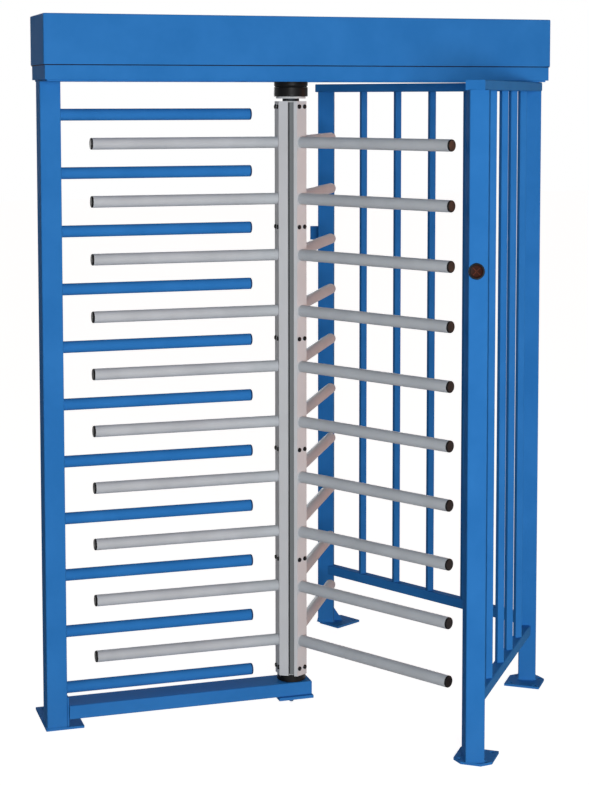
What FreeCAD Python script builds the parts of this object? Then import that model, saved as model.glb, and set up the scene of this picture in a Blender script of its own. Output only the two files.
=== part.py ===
import FreeCAD, Part
import math
import os

# Full height turnstile. Millimetres, +Z up, origin on the floor under the rotor axis.
# The barrier comb and the left wing lie in the plane Y = 0, the passage crosses it along Y.

# Overall and barrier
overall_height = 2300.0
comb_bar_count = 11
comb_bottom_z = 126.0
comb_top_margin = 42.0
comb_tip_x = -138.0
barrier_tube_diameter = 38.0
barrier_tube_wall = 2.5
cap_head = 6.0
cap_edge_radius = 3.6
cap_plug = 20.0
plug_clearance = 0.3

# Left post, its plate and the floor beam
left_post_width = 66.0
left_post_depth = 78.0
left_post_x = -804.0
post_wall = 3.0
post_corner_radius = 4.0
plate_thickness = 8.0
left_plate_width = 124.0
left_plate_depth = 220.0
left_plate_margin = 4.0
beam_width = 100.0
beam_height = 45.0
beam_bottom_z = 34.0
beam_wall = 4.0
beam_overhang_margin = 9.0
beam_end_thickness = 4.0
flange_thickness = 5.0
flange_height = 96.0
rotor_plate_side = 120.0
rotor_plate_thickness = 10.0
levelling_stud_diameter = 14.0
levelling_nut_width = 22.0
levelling_nut_height = 9.0
levelling_stud_chamfer = 1.0

# Anchor holes
anchor_hole_diameter = 14.0
left_anchor_inset_x = 22.0
left_anchor_inset_y = 22.0
left_anchor_front_clear = 24.0
cage_anchor_inset = 16.0
cage_anchor_spacing = 84.0

# Cage
cage_post_width = 60.0
front_post_xy = (369.0, -694.0)
front_post_turn = 79.5
right_post_xy = (855.0, -38.0)
right_post_turn = 66.0
back_post_xy = (398.0, 822.0)
back_post_turn = 68.0
cage_plate_length = 125.0
cage_plate_width = 122.0
cage_plate_margin = 2.0
cage_plate_chamfer = 29.0
back_plate_shift = 30.0
cage_rail_width = 35.0
side_rail_bottom_z = 168.0
back_rail_bottom_z = 197.0
top_rail_height = 30.0
side_bar_places = (200.0, 366.0, 504.0, 649.0)
back_bar_places = (192.0, 361.0, 526.0, 689.0, 850.0)
panel_bar_width = 23.0
panel_bar_wall = 2.0
panel_bar_corner_radius = 2.5
gusset_leg = 34.0
gusset_height = 51.0
gusset_thickness = 5.0
end_plug_depth = 3.0
end_plug_corner_radius = 1.0

# Canopy
canopy_left_x = -840.0
canopy_right_x = 873.0
canopy_front_y = -139.0
canopy_back_y = 119.0
cover_height = 157.0
cover_wall = 2.0
cover_edge_radius = 4.0
tray_height = 47.0
tray_wall = 3.0
tray_inset = 4.0
mount_frame_thickness = 5.0
mount_frame_inset = 12.0
mount_frame_bar = 40.0
mount_frame_cross_x = 130.0

# Rotor
wing_count = 3
arms_per_wing = 10
first_wing_angle = 180.0
arm_tip_radius = 671.0
column_face_radius = 49.0
column_face_width = 46.0
column_wall = 5.0
column_bottom_z = 101.0
column_channel_width = 20.0
column_channel_depth = 12.0
column_channel_shift = 9.5
column_channel_wall = 4.0
column_end_thickness = 16.0
column_end_clearance = 0.2
shaft_diameter = 40.0
shaft_clearance = 4.0
shaft_above_hub = 16.0
neck_diameter = 55.0
neck_height = 8.6
top_ring_diameter = 98.0
top_ring_height = 6.6
collar_diameter = 112.0
bottom_collar_diameter = 96.0
top_collar_height = 30.8
fixed_collar_height = 18.1
collar_gap = 3.9
collar_edge_radius = 2.0
top_ring_edge_radius = 1.0
bottom_collar_gap = 1.0
bearing_fit = 0.05
pivot_diameter = 30.0
thrust_pad_thickness = 6.0
thrust_pad_diameter = 47.0
bottom_bearing_diameter = 67.0
column_bolt_head = 15.0
column_bolt_head_height = 6.0
column_bolt_edge_radius = 3.6
column_bolt_shank = 8.0
column_bolt_spacing = 26.0
column_bolt_top_margin = 18.0

# Head mechanism on the tray floor
top_bearing_outer = 68.0
top_bearing_height = 18.0
top_housing_side = 112.0
top_housing_height = 34.0
disc_radius = 105.0
disc_thickness = 10.0
disc_rise = 51.0
disc_hub_diameter = 70.0
disc_hub_height = 20.0
block_inner_radius = 78.0
block_outer_radius = 102.0
block_width = 12.0
block_height = 20.0
block_lead_angle = 15.0
nose_angle = 6.4
nose_radius = 89.6
pawl_lift = 2.0
pawl_thickness = 14.0
pawl_width = 14.0
pawl_travel = 26.0
pawl_pivot_xy = (155.0, 50.0)
pawl_tail = 34.0
pawl_pin_diameter = 10.0
pawl_boss_diameter = 24.0
tail_pin_diameter = 6.0
tail_pin_height = 14.0
tail_pin_edge = 4.0
pin_end_play = 0.5
pin_head_height = 3.0
pin_head_overhang = 4.0
pedestal_width = 30.0
fork_gap = 8.0
fork_prong = 4.0
fork_length = 16.0
fork_end_clearance = 1.0
plunger_diameter = 10.0
plunger_clearance = 0.3
plunger_stem_length = 41.0
solenoid_length = 62.0
solenoid_width = 34.0
plunger_end_gap = 1.0
roller_radius = 20.0
roller_thickness = 14.0
roller_gap = 0.3
roller_angle = -25.0
roller_pin_diameter = 10.0
damper_diameter = 46.0
board_length = 150.0
board_width = 100.0
board_x = -300.0
board_thickness = 2.0
board_hole_inset = 8.0
standoff_diameter = 8.0
standoff_height = 12.0
terminal_length = 120.0
terminal_width = 14.0
terminal_height = 12.0
terminal_y = -33.0
relay_length = 28.0
relay_width = 30.0
relay_height = 16.0
relay_x = 34.0
relay_y = 15.0
supply_length = 120.0
supply_width = 90.0
supply_height = 55.0
supply_x = -520.0
gland_diameter = 24.0
gland_bore = 14.0
gland_nut_diameter = 32.0
gland_nut_height = 8.0
gland_x = -700.0
gland_y = -60.0

# Indicators
indicator_z = 1520.0
indicator_diameter = 50.0
indicator_thickness = 6.0
indicator_edge_radius = 2.0
indicator_shift = 7.0
lens_diameter = 38.0
lens_thickness = 3.0
box_width = 51.0
box_depth = 30.0
box_reach = 34.0
box_corner_radius = 3.0

# Values that follow from the sizes above
barrier_radius = barrier_tube_diameter / 2
frame_bottom_z = overall_height - cover_height - tray_height - mount_frame_thickness
tray_bottom_z = frame_bottom_z + mount_frame_thickness
tray_floor_z = tray_bottom_z + tray_wall
cover_bottom_z = tray_bottom_z + tray_height
fixed_collar_z = tray_bottom_z - fixed_collar_height
top_collar_top_z = fixed_collar_z - collar_gap
top_collar_z = top_collar_top_z - top_collar_height
top_ring_z = top_collar_z - top_ring_height
column_top_z = top_ring_z - neck_height
comb_top_z = column_top_z - comb_top_margin
bar_pitch = (comb_top_z - comb_bottom_z) / (comb_bar_count - 1)
arm_top_z = comb_top_z - bar_pitch / 2
cage_post_top_z = frame_bottom_z - top_rail_height
beam_top_z = beam_bottom_z + beam_height
beam_overhang = bottom_collar_diameter / 2 + beam_overhang_margin
post_right_x = left_post_x + left_post_width / 2
left_plate_x = left_post_x - left_post_width / 2 - left_plate_margin
left_plate_y = -left_post_depth / 2 - left_plate_margin
shaft_hole_diameter = shaft_diameter + 2 * shaft_clearance
disc_bottom_z = tray_floor_z + disc_rise
disc_top_z = disc_bottom_z + disc_thickness
shaft_top_z = disc_top_z + disc_hub_height + shaft_above_hub
pawl_z = disc_top_z + pawl_lift
block_angle = nose_angle + block_lead_angle
wing_step = 360.0 / wing_count
tail_pin_reach = pawl_tail - tail_pin_edge


def direction(angle):
    return FreeCAD.Vector(math.cos(math.radians(angle)), math.sin(math.radians(angle)), 0)


def box(x0, x1, y0, y1, z0, z1):
    return Part.makeBox(x1 - x0, y1 - y0, z1 - z0, FreeCAD.Vector(x0, y0, z0))


def rod(diameter, z0, z1, x=0.0, y=0.0):
    return Part.makeCylinder(diameter / 2, z1 - z0, FreeCAD.Vector(x, y, z0))


def placed(shape, x=0.0, y=0.0, z=0.0, angle=0.0):
    copy = shape.copy()
    copy.rotate(FreeCAD.Vector(0, 0, 0), FreeCAD.Vector(0, 0, 1), angle)
    copy.translate(FreeCAD.Vector(x, y, z))
    return copy


def upright_bar(width, depth, length, radius):
    bar = box(-width / 2, width / 2, -depth / 2, depth / 2, 0, length)
    corners = [edge for edge in bar.Edges if abs(edge.Vertexes[0].Z - edge.Vertexes[1].Z) > length / 2]
    return bar.makeFillet(radius, corners)


def upright_tube(width, depth, wall, length, radius):
    inner = upright_bar(width - 2 * wall, depth - 2 * wall, length, max(radius - wall, 0.5))
    return upright_bar(width, depth, length, radius).cut(inner)


def laid(shape):
    # Turns a bar that stands on the origin so that it runs along +X, its width upright.
    copy = shape.copy()
    copy.rotate(FreeCAD.Vector(0, 0, 0), FreeCAD.Vector(0, 1, 0), 90)
    return copy


def round_tube(length):
    outer = Part.makeCylinder(barrier_radius, length, FreeCAD.Vector(0, 0, 0), FreeCAD.Vector(1, 0, 0))
    inner = Part.makeCylinder(barrier_radius - barrier_tube_wall, length,
                              FreeCAD.Vector(0, 0, 0), FreeCAD.Vector(1, 0, 0))
    return outer.cut(inner)


def tube_cap():
    # A head with a rounded rim and a plug, its seat on the tube end at X = 0, pointing along +X.
    head = Part.makeCylinder(barrier_radius, cap_head, FreeCAD.Vector(0, 0, 0), FreeCAD.Vector(1, 0, 0))
    rim = [edge for edge in head.Edges if edge.BoundBox.XMin > cap_head / 2 and edge.BoundBox.XLength < 0.1]
    head = head.makeFillet(cap_edge_radius, rim)
    plug_radius = barrier_radius - barrier_tube_wall - plug_clearance
    plug = Part.makeCylinder(plug_radius, cap_plug, FreeCAD.Vector(-cap_plug, 0, 0), FreeCAD.Vector(1, 0, 0))
    return head.fuse(plug).removeSplitter()


def heights(top, count):
    return [top - index * bar_pitch for index in range(count)]


def save(name, shape):
    shape.exportStep("parts/" + name + ".step")


def save_group(name, shapes):
    save(name, Part.makeCompound(shapes))


# Left side: plate, post, comb and beam

def left_anchor_points():
    x_values = (left_plate_x + left_anchor_inset_x, left_plate_x + left_plate_width - left_anchor_inset_x)
    y_front = left_post_depth / 2 + left_anchor_front_clear
    y_back = left_plate_y + left_plate_depth - left_anchor_inset_y
    return [(x, y) for x in x_values for y in (y_front, y_back)]


def left_base_plate():
    plate = box(left_plate_x, left_plate_x + left_plate_width,
                left_plate_y, left_plate_y + left_plate_depth, 0, plate_thickness)
    for x, y in left_anchor_points():
        plate = plate.cut(rod(anchor_hole_diameter, 0, plate_thickness, x, y))
    return plate


def left_post():
    tube = upright_tube(left_post_width, left_post_depth, post_wall,
                        frame_bottom_z - plate_thickness, post_corner_radius)
    return placed(tube, left_post_x, 0, plate_thickness)


def comb_tube_length():
    return comb_tip_x - cap_head - post_right_x


def comb_bars():
    return [placed(round_tube(comb_tube_length()), post_right_x, 0, z)
            for z in heights(comb_top_z, comb_bar_count)]


def comb_caps():
    return [placed(tube_cap(), comb_tip_x - cap_head, 0, z) for z in heights(comb_top_z, comb_bar_count)]


def beam_flange():
    return box(post_right_x, post_right_x + flange_thickness,
               -left_post_depth / 2, beam_width / 2, plate_thickness, plate_thickness + flange_height)


def floor_beam():
    length = beam_overhang - beam_end_thickness - post_right_x - flange_thickness
    tube = laid(upright_tube(beam_height, beam_width, beam_wall, length, post_corner_radius))
    tube = placed(tube, post_right_x + flange_thickness, 0, beam_bottom_z + beam_height / 2)
    seat = rod(bottom_bearing_diameter, beam_top_z - 2 * beam_wall, beam_top_z + 1)
    stud_hole = rod(levelling_stud_diameter, beam_bottom_z - 1, beam_bottom_z + 2 * beam_wall)
    return tube.cut(seat).cut(stud_hole)


def beam_end_plate():
    plate = laid(upright_bar(beam_height, beam_width, beam_end_thickness, post_corner_radius))
    return placed(plate, beam_overhang - beam_end_thickness, 0, beam_bottom_z + beam_height / 2)


def rotor_floor_plate():
    half = rotor_plate_side / 2
    plate = box(-half, half, -half, half, beam_bottom_z - rotor_plate_thickness, beam_bottom_z)
    return plate.cut(rod(levelling_stud_diameter, 0, beam_bottom_z))


def levelling_stud():
    stud = rod(levelling_stud_diameter, 0, beam_bottom_z + beam_wall)
    return stud.makeChamfer(levelling_stud_chamfer, [stud.Edges[0], stud.Edges[2]])


def levelling_nut():
    flats = [direction(60 * side) * (levelling_nut_width / math.sqrt(3)) for side in range(7)]
    outline = Part.Face(Part.makePolygon(flats))
    nut = outline.extrude(FreeCAD.Vector(0, 0, levelling_nut_height))
    nut.translate(FreeCAD.Vector(0, 0, beam_bottom_z - rotor_plate_thickness - levelling_nut_height))
    return nut.cut(rod(levelling_stud_diameter, 0, beam_bottom_z))


# Cage: posts, plates, rails and bars

def heading(start, end):
    return math.degrees(math.atan2(end[1] - start[1], end[0] - start[0]))


def span(start, end):
    return math.hypot(end[0] - start[0], end[1] - start[1])


side_angle = heading(front_post_xy, right_post_xy)
back_angle = heading(back_post_xy, right_post_xy)
side_span = span(front_post_xy, right_post_xy)
back_span = span(back_post_xy, right_post_xy)


def cage_post(place, turn):
    tube = upright_tube(cage_post_width, cage_post_width, post_wall,
                        cage_post_top_z - plate_thickness, post_corner_radius)
    return placed(tube, place[0], place[1], plate_thickness, turn)


def cage_anchor_places():
    # In the plate's own frame, where its outer end with the cut corners is at X = 0.
    far_x = cage_plate_length - cage_anchor_inset
    near_x = far_x - cage_anchor_spacing
    side_y = cage_anchor_spacing / 2
    return [(x, y) for x in (near_x, far_x) for y in (-side_y, side_y)]


def cage_plate():
    half = cage_plate_width / 2
    cut = cage_plate_chamfer
    points = [(0, -half + cut), (cut, -half), (cage_plate_length, -half),
              (cage_plate_length, half), (cut, half), (0, half - cut), (0, -half + cut)]
    outline = Part.makePolygon([FreeCAD.Vector(x, y, 0) for x, y in points])
    plate = Part.Face(outline).extrude(FreeCAD.Vector(0, 0, plate_thickness))
    for x, y in cage_anchor_places():
        plate = plate.cut(rod(anchor_hole_diameter, 0, plate_thickness, x, y))
    return plate


def plate_origin(place, angle, sideways):
    outward = cage_post_width / 2 + cage_plate_margin
    along = direction(angle)
    across = direction(angle + 90)
    start = FreeCAD.Vector(place[0], place[1], 0) - along * outward + across * sideways
    return start.x, start.y


def cage_base_plate(place, angle, sideways=0.0):
    x, y = plate_origin(place, angle, sideways)
    return placed(cage_plate(), x, y, 0, angle)


def back_post_gusset():
    half = cage_post_width / 2
    points = [(half, plate_thickness), (half + gusset_leg, plate_thickness),
              (half, plate_thickness + gusset_height), (half, plate_thickness)]
    outline = Part.makePolygon([FreeCAD.Vector(x, 0, z) for x, z in points])
    gusset = Part.Face(outline).extrude(FreeCAD.Vector(0, gusset_thickness, 0))
    gusset.translate(FreeCAD.Vector(0, -gusset_thickness / 2, 0))
    return placed(gusset, back_post_xy[0], back_post_xy[1], 0, back_post_turn - 90)


def full_post(place, turn):
    solid = upright_bar(cage_post_width, cage_post_width, overall_height, post_corner_radius)
    return placed(solid, place[0], place[1], 0, turn)


def lower_rail(start, angle, length, bottom_z, start_turn):
    tube = laid(upright_tube(cage_rail_width, cage_rail_width, post_wall, length, post_corner_radius))
    rail = placed(tube, start[0], start[1], bottom_z + cage_rail_width / 2, angle)
    rail = rail.cut(full_post(start, start_turn))
    return rail.cut(full_post(right_post_xy, right_post_turn))


def panel_bars(start, angle, places, bottom_z):
    # The bars stand square to the barrier, not to the rails that hold them.
    tall = cage_post_top_z - bottom_z - cage_rail_width
    tube = upright_tube(panel_bar_width, panel_bar_width, panel_bar_wall, tall, panel_bar_corner_radius)
    bars = []
    for place in places:
        point = FreeCAD.Vector(start[0], start[1], 0) + direction(angle) * place
        bars.append(placed(tube, point.x, point.y, bottom_z + cage_rail_width))
    return bars


def mitre_block(toward):
    # The half space on one side of the upright plane through the right post that halves the corner.
    halving = (side_angle + back_angle) / 2 + 180
    size = 4 * cage_post_width
    block = box(-size, size, 0, size, cage_post_top_z - 1, frame_bottom_z + 1)
    return placed(block, right_post_xy[0], right_post_xy[1], 0, halving + toward)


def top_rail(start, angle, length, toward):
    run = length + 2 * cage_post_width
    tube = laid(upright_tube(top_rail_height, cage_post_width, post_wall, run, post_corner_radius))
    begin = FreeCAD.Vector(start[0], start[1], 0) - direction(angle) * (cage_post_width / 2)
    rail = placed(tube, begin.x, begin.y, cage_post_top_z + top_rail_height / 2, angle)
    return rail.cut(mitre_block(toward))


def rail_plug(start, angle):
    width = cage_post_width - 2 * post_wall
    height = top_rail_height - 2 * post_wall
    plug = laid(upright_bar(height, width, end_plug_depth, end_plug_corner_radius))
    begin = FreeCAD.Vector(start[0], start[1], 0) - direction(angle) * (cage_post_width / 2)
    return placed(plug, begin.x, begin.y, cage_post_top_z + top_rail_height / 2, angle)


# Canopy

def canopy_mount_frame():
    # Flat bars: two long ones under the tray's edges and four short ones between them.
    x0 = canopy_left_x + mount_frame_inset
    x1 = canopy_right_x - mount_frame_inset
    y0 = canopy_front_y + mount_frame_inset
    y1 = canopy_back_y - mount_frame_inset
    bar = mount_frame_bar
    bars = [box(x0, x1, y, y + bar, frame_bottom_z, tray_bottom_z) for y in (y0, y1 - bar)]
    for x in (x0, -mount_frame_cross_x - bar, mount_frame_cross_x, x1 - bar):
        bars.append(box(x, x + bar, y0 + bar, y1 - bar, frame_bottom_z, tray_bottom_z))
    return bars


def canopy_tray():
    x0 = canopy_left_x + tray_inset
    x1 = canopy_right_x - tray_inset
    y0 = canopy_front_y + tray_inset
    y1 = canopy_back_y - tray_inset
    outer = box(x0, x1, y0, y1, tray_bottom_z, cover_bottom_z)
    inner = box(x0 + tray_wall, x1 - tray_wall, y0 + tray_wall, y1 - tray_wall, tray_floor_z, cover_bottom_z)
    tray = outer.cut(inner)
    tray = tray.cut(rod(shaft_hole_diameter, tray_bottom_z, tray_floor_z))
    return tray.cut(rod(gland_diameter, tray_bottom_z, tray_floor_z, gland_x, gland_y))


def canopy_cover():
    outer = box(canopy_left_x, canopy_right_x, canopy_front_y, canopy_back_y, cover_bottom_z, overall_height)
    edges = [edge for edge in outer.Edges if edge.BoundBox.ZMax > overall_height - 1]
    outer = outer.makeFillet(cover_edge_radius, edges)
    inner = box(canopy_left_x + cover_wall, canopy_right_x - cover_wall, canopy_front_y + cover_wall,
                canopy_back_y - cover_wall, cover_bottom_z + cover_wall, overall_height - cover_wall)
    lip = tray_inset + tray_wall
    mouth = box(canopy_left_x + lip, canopy_right_x - lip, canopy_front_y + lip,
                canopy_back_y - lip, cover_bottom_z, cover_bottom_z + cover_wall)
    return outer.cut(inner).cut(mouth)


# Rotor: column, arms, collars and shaft

def column_outline(inset):
    face_radius = column_face_radius - inset
    half = column_face_width / 2 - inset / math.sqrt(3)
    points = []
    for wing in range(wing_count):
        out = direction(first_wing_angle + wing_step * wing)
        side = direction(first_wing_angle + wing_step * wing + 90)
        points.append(out * face_radius - side * half)
        points.append(out * face_radius + side * half)
    points.append(points[0])
    return Part.Face(Part.makePolygon(points))


def channel_face_radius():
    # Distance of the wide faces between the wings from the axis.
    corner = math.hypot(column_face_radius, column_face_width / 2)
    corner_angle = math.degrees(math.atan2(column_face_width / 2, column_face_radius))
    return corner * math.cos(math.radians(60 - corner_angle))


def channel_block(around, outward):
    # The space of one channel in the wide face at angle 0, larger all round by the given wall.
    face = channel_face_radius()
    half = column_channel_width / 2 + around
    middle = column_channel_shift
    return box(face - column_channel_depth - around, face + outward, middle - half, middle + half,
               column_bottom_z, column_top_z)


def wide_face_angles():
    return [first_wing_angle + wing_step * (wing + 0.5) for wing in range(wing_count)]


def rotor_column():
    up = FreeCAD.Vector(0, 0, column_top_z - column_bottom_z)
    column = column_outline(0).extrude(up).cut(column_outline(column_wall).extrude(up))
    column.translate(FreeCAD.Vector(0, 0, column_bottom_z))
    for angle in wide_face_angles():
        column = column.fuse(placed(channel_block(column_channel_wall, -1), angle=angle))
    for angle in wide_face_angles():
        column = column.cut(placed(channel_block(0, 1), angle=angle))
    column = column.removeSplitter()
    for x, y, z, angle in column_bolt_places():
        hole = Part.makeCylinder(column_bolt_shank / 2, 3 * column_wall,
                                 FreeCAD.Vector(column_face_radius - 2 * column_wall, y, z),
                                 FreeCAD.Vector(1, 0, 0))
        column = column.cut(placed(hole, angle=angle))
    return column


def column_end(bottom_z):
    plate = column_outline(column_wall + column_end_clearance)
    plate = plate.extrude(FreeCAD.Vector(0, 0, column_end_thickness))
    plate.translate(FreeCAD.Vector(0, 0, bottom_z))
    for angle in wide_face_angles():
        plate = plate.cut(placed(channel_block(column_channel_wall + column_end_clearance, 1), angle=angle))
    return plate


def column_end_plates():
    top = column_end(column_top_z - column_end_thickness)
    bottom = column_end(column_bottom_z)
    top = top.cut(rod(shaft_diameter, column_bottom_z, column_top_z))
    bottom = bottom.cut(rod(pivot_diameter, column_bottom_z, column_top_z))
    return [bottom, top]


def column_bolt_places():
    lowest = arm_top_z - (arms_per_wing - 0.5) * bar_pitch
    levels = [lowest + 2 * bar_pitch * index for index in range(arms_per_wing // 2)]
    levels.append(column_top_z - column_bolt_top_margin)
    places = []
    for wing in range(wing_count):
        angle = first_wing_angle + wing_step * wing
        for z in levels:
            for side in (-0.5, 0.5):
                places.append((column_face_radius, side * column_bolt_spacing, z, angle))
    return places


def column_bolts():
    # Each shank stops at the inner face of the column wall.
    head = Part.makeCylinder(column_bolt_head / 2, column_bolt_head_height,
                             FreeCAD.Vector(0, 0, 0), FreeCAD.Vector(1, 0, 0))
    rim = [edge for edge in head.Edges if edge.BoundBox.XMin > 1 and edge.BoundBox.XLength < 0.1]
    head = head.makeFillet(column_bolt_edge_radius, rim)
    shank = Part.makeCylinder(column_bolt_shank / 2, column_wall,
                              FreeCAD.Vector(-column_wall, 0, 0), FreeCAD.Vector(1, 0, 0))
    bolt = head.fuse(shank).removeSplitter()
    bolts = []
    for x, y, z, angle in column_bolt_places():
        one = bolt.copy()
        one.translate(FreeCAD.Vector(x, y, z))
        bolts.append(placed(one, angle=angle))
    return bolts


def wing_arms(angle):
    tube = round_tube(arm_tip_radius - cap_head - column_face_radius)
    tube.translate(FreeCAD.Vector(column_face_radius, 0, 0))
    return [placed(tube, z=z, angle=angle) for z in heights(arm_top_z, arms_per_wing)]


def wing_caps(angle):
    cap = tube_cap()
    cap.translate(FreeCAD.Vector(arm_tip_radius - cap_head, 0, 0))
    return [placed(cap, z=z, angle=angle) for z in heights(arm_top_z, arms_per_wing)]


def top_shaft():
    shaft = rod(shaft_diameter, column_top_z - column_end_thickness, shaft_top_z)
    neck = rod(neck_diameter, column_top_z, top_ring_z)
    return shaft.fuse(neck).removeSplitter()


def ring(outer, inner, z0, z1):
    return rod(outer, z0, z1).cut(rod(inner, z0, z1))


def rounded_ring(outer, inner, z0, z1, radius):
    disc = rod(outer, z0, z1)
    rims = [edge for edge in disc.Edges if edge.BoundBox.ZLength < 0.1]
    return disc.makeFillet(radius, rims).cut(rod(inner, z0, z1))


def bottom_pivot():
    pad_top = beam_bottom_z + beam_wall + thrust_pad_thickness
    return rod(pivot_diameter, pad_top, column_bottom_z + column_end_thickness)


def thrust_pad():
    z0 = beam_bottom_z + beam_wall
    return rod(thrust_pad_diameter, z0, z0 + thrust_pad_thickness)


def bottom_bearing():
    z0 = beam_bottom_z + beam_wall + thrust_pad_thickness
    return ring(bottom_bearing_diameter, pivot_diameter + 2 * bearing_fit, z0, beam_top_z)


def bottom_collar():
    z0 = beam_top_z + bottom_collar_gap
    return rounded_ring(bottom_collar_diameter, pivot_diameter, z0, column_bottom_z, collar_edge_radius)


# Head mechanism

def top_bearing():
    z0 = tray_floor_z + (top_housing_height - top_bearing_height)
    return ring(top_bearing_outer, shaft_diameter + 2 * bearing_fit, z0, z0 + top_bearing_height)


def top_bearing_housing():
    half = top_housing_side / 2
    top_z = tray_floor_z + top_housing_height
    block = box(-half, half, -half, half, tray_floor_z, top_z)
    block = block.cut(rod(shaft_hole_diameter, tray_floor_z, top_z))
    return block.cut(rod(top_bearing_outer, top_z - top_bearing_height, top_z))


def stop_disc():
    # A disc, the hub that clamps it on the shaft, and one stop block for each wing.
    disc = ring(2 * disc_radius, shaft_diameter, disc_bottom_z, disc_top_z)
    hub = ring(disc_hub_diameter, shaft_diameter, disc_top_z, disc_top_z + disc_hub_height)
    block = box(block_inner_radius, block_outer_radius, -block_width / 2, block_width / 2,
                disc_top_z, disc_top_z + block_height)
    blocks = [placed(block, angle=block_angle + wing_step * wing) for wing in range(wing_count)]
    return [disc, hub] + blocks


def pawl_rest_angle():
    nose = direction(nose_angle) * nose_radius
    reach = heading(pawl_pivot_xy, (nose.x, nose.y))
    return reach + pawl_travel


def pawl_reach():
    nose = direction(nose_angle) * nose_radius
    return span(pawl_pivot_xy, (nose.x, nose.y))


def pawl():
    half = pawl_width / 2
    arm = box(-pawl_tail, pawl_reach() + half, -half, half, 0, pawl_thickness)
    arm = arm.fuse(rod(pawl_boss_diameter, 0, pawl_thickness))
    arm = arm.fuse(rod(tail_pin_diameter, 0, pawl_thickness + tail_pin_height, -tail_pin_reach, 0))
    arm = arm.cut(rod(pawl_pin_diameter + 2 * bearing_fit, 0, pawl_thickness))
    return placed(arm, pawl_pivot_xy[0], pawl_pivot_xy[1], pawl_z, pawl_rest_angle())


def pawl_pedestal():
    # A post on the tray floor with the pawl's pivot pin and its retaining head.
    x, y = pawl_pivot_xy
    half = pedestal_width / 2
    base = box(x - half, x + half, y - half, y + half, tray_floor_z, pawl_z)
    head_z = pawl_z + pawl_thickness + pin_end_play
    pin = rod(pawl_pin_diameter, pawl_z, head_z, x, y)
    head = rod(pawl_pin_diameter + 2 * pin_head_overhang, head_z, head_z + pin_head_height, x, y)
    return base.fuse(pin).fuse(head).removeSplitter()


def pin_centre(swing=0.0):
    away = direction(pawl_rest_angle() + 180 - swing) * tail_pin_reach
    return pawl_pivot_xy[0] + away.x, pawl_pivot_xy[1] + away.y


def plunger_travel():
    # How far the tail pin moves along X while the pawl drops in.
    return pin_centre(pawl_travel)[0] - pin_centre()[0]


def solenoid_start():
    return pin_centre()[0] + fork_gap / 2 + fork_prong + plunger_travel() + plunger_end_gap


def plunger_level():
    return pawl_z + pawl_thickness + tail_pin_height - plunger_diameter / 2 - fork_end_clearance


def plunger():
    # A fork over the pawl's tail pin on a round plunger that slides in the coil housing.
    x, y = pin_centre()
    z = plunger_level()
    low = z - plunger_diameter / 2
    high = z + plunger_diameter / 2
    outer = fork_gap / 2 + fork_prong
    near = y - fork_length
    slot_end = y + tail_pin_diameter / 2 + fork_end_clearance
    head = box(x - outer, x + outer, near, slot_end + fork_prong, low, high)
    slot = box(x - fork_gap / 2, x + fork_gap / 2, near, slot_end, low, high)
    stem = Part.makeCylinder(plunger_diameter / 2, plunger_stem_length,
                             FreeCAD.Vector(x + outer - 1, y, z), FreeCAD.Vector(1, 0, 0))
    return head.cut(slot).fuse(stem).removeSplitter()


def solenoid():
    x, y = pin_centre()
    z = plunger_level()
    start = solenoid_start()
    half = solenoid_width / 2
    body = box(start, start + solenoid_length, y - half, y + half, z - half, z + half)
    bore = Part.makeCylinder(plunger_diameter / 2 + plunger_clearance, solenoid_length - post_wall,
                             FreeCAD.Vector(start, y, z), FreeCAD.Vector(1, 0, 0))
    return body.cut(bore)


def solenoid_bracket():
    x, y = pin_centre()
    start = solenoid_start()
    half = solenoid_width / 2
    return box(start, start + solenoid_length, y - half, y + half, tray_floor_z, plunger_level() - half)


def opposite(shape):
    return placed(shape, angle=180)


def roller_place():
    spot = direction(roller_angle) * (disc_radius + roller_radius + roller_gap)
    return spot.x, spot.y


def damper_roller():
    x, y = roller_place()
    middle = disc_bottom_z + disc_thickness / 2
    z0 = middle - roller_thickness / 2
    wheel = rod(2 * roller_radius, z0, z0 + roller_thickness, x, y)
    return wheel.cut(rod(roller_pin_diameter + 2 * bearing_fit, z0, z0 + roller_thickness, x, y))


def damper_body():
    x, y = roller_place()
    top = disc_bottom_z + disc_thickness / 2 - roller_thickness / 2
    body = rod(damper_diameter, tray_floor_z, top, x, y)
    head_z = top + roller_thickness + pin_end_play
    pin = rod(roller_pin_diameter, top, head_z, x, y)
    head = rod(roller_pin_diameter + 2 * pin_head_overhang, head_z, head_z + pin_head_height, x, y)
    return body.fuse(pin).fuse(head).removeSplitter()


def board_standoffs():
    reach_x = board_length / 2 - board_hole_inset
    reach_y = board_width / 2 - board_hole_inset
    return [rod(standoff_diameter, tray_floor_z, tray_floor_z + standoff_height,
                board_x + sx * reach_x, sy * reach_y)
            for sx in (-1, 1) for sy in (-1, 1)]


def centred_box(x, y, length, width, z0, z1):
    return box(x - length / 2, x + length / 2, y - width / 2, y + width / 2, z0, z1)


def control_board():
    z0 = tray_floor_z + standoff_height
    z1 = z0 + board_thickness
    board = centred_box(board_x, 0, board_length, board_width, z0, z1)
    block = centred_box(board_x, terminal_y, terminal_length, terminal_width, z1, z1 + terminal_height)
    relay = centred_box(board_x + relay_x, relay_y, relay_length, relay_width, z1, z1 + relay_height)
    return board.fuse(block).fuse(relay).removeSplitter()


def power_supply():
    top_z = tray_floor_z + supply_height
    return centred_box(supply_x, 0, supply_length, supply_width, tray_floor_z, top_z)


def cable_gland():
    nut_top_z = tray_floor_z + gland_nut_height
    body = rod(gland_diameter, tray_bottom_z, tray_floor_z, gland_x, gland_y)
    nut = rod(gland_nut_diameter, tray_floor_z, nut_top_z, gland_x, gland_y)
    bore = rod(gland_bore, tray_bottom_z, nut_top_z, gland_x, gland_y)
    return body.fuse(nut).removeSplitter().cut(bore)


# Indicators

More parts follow.
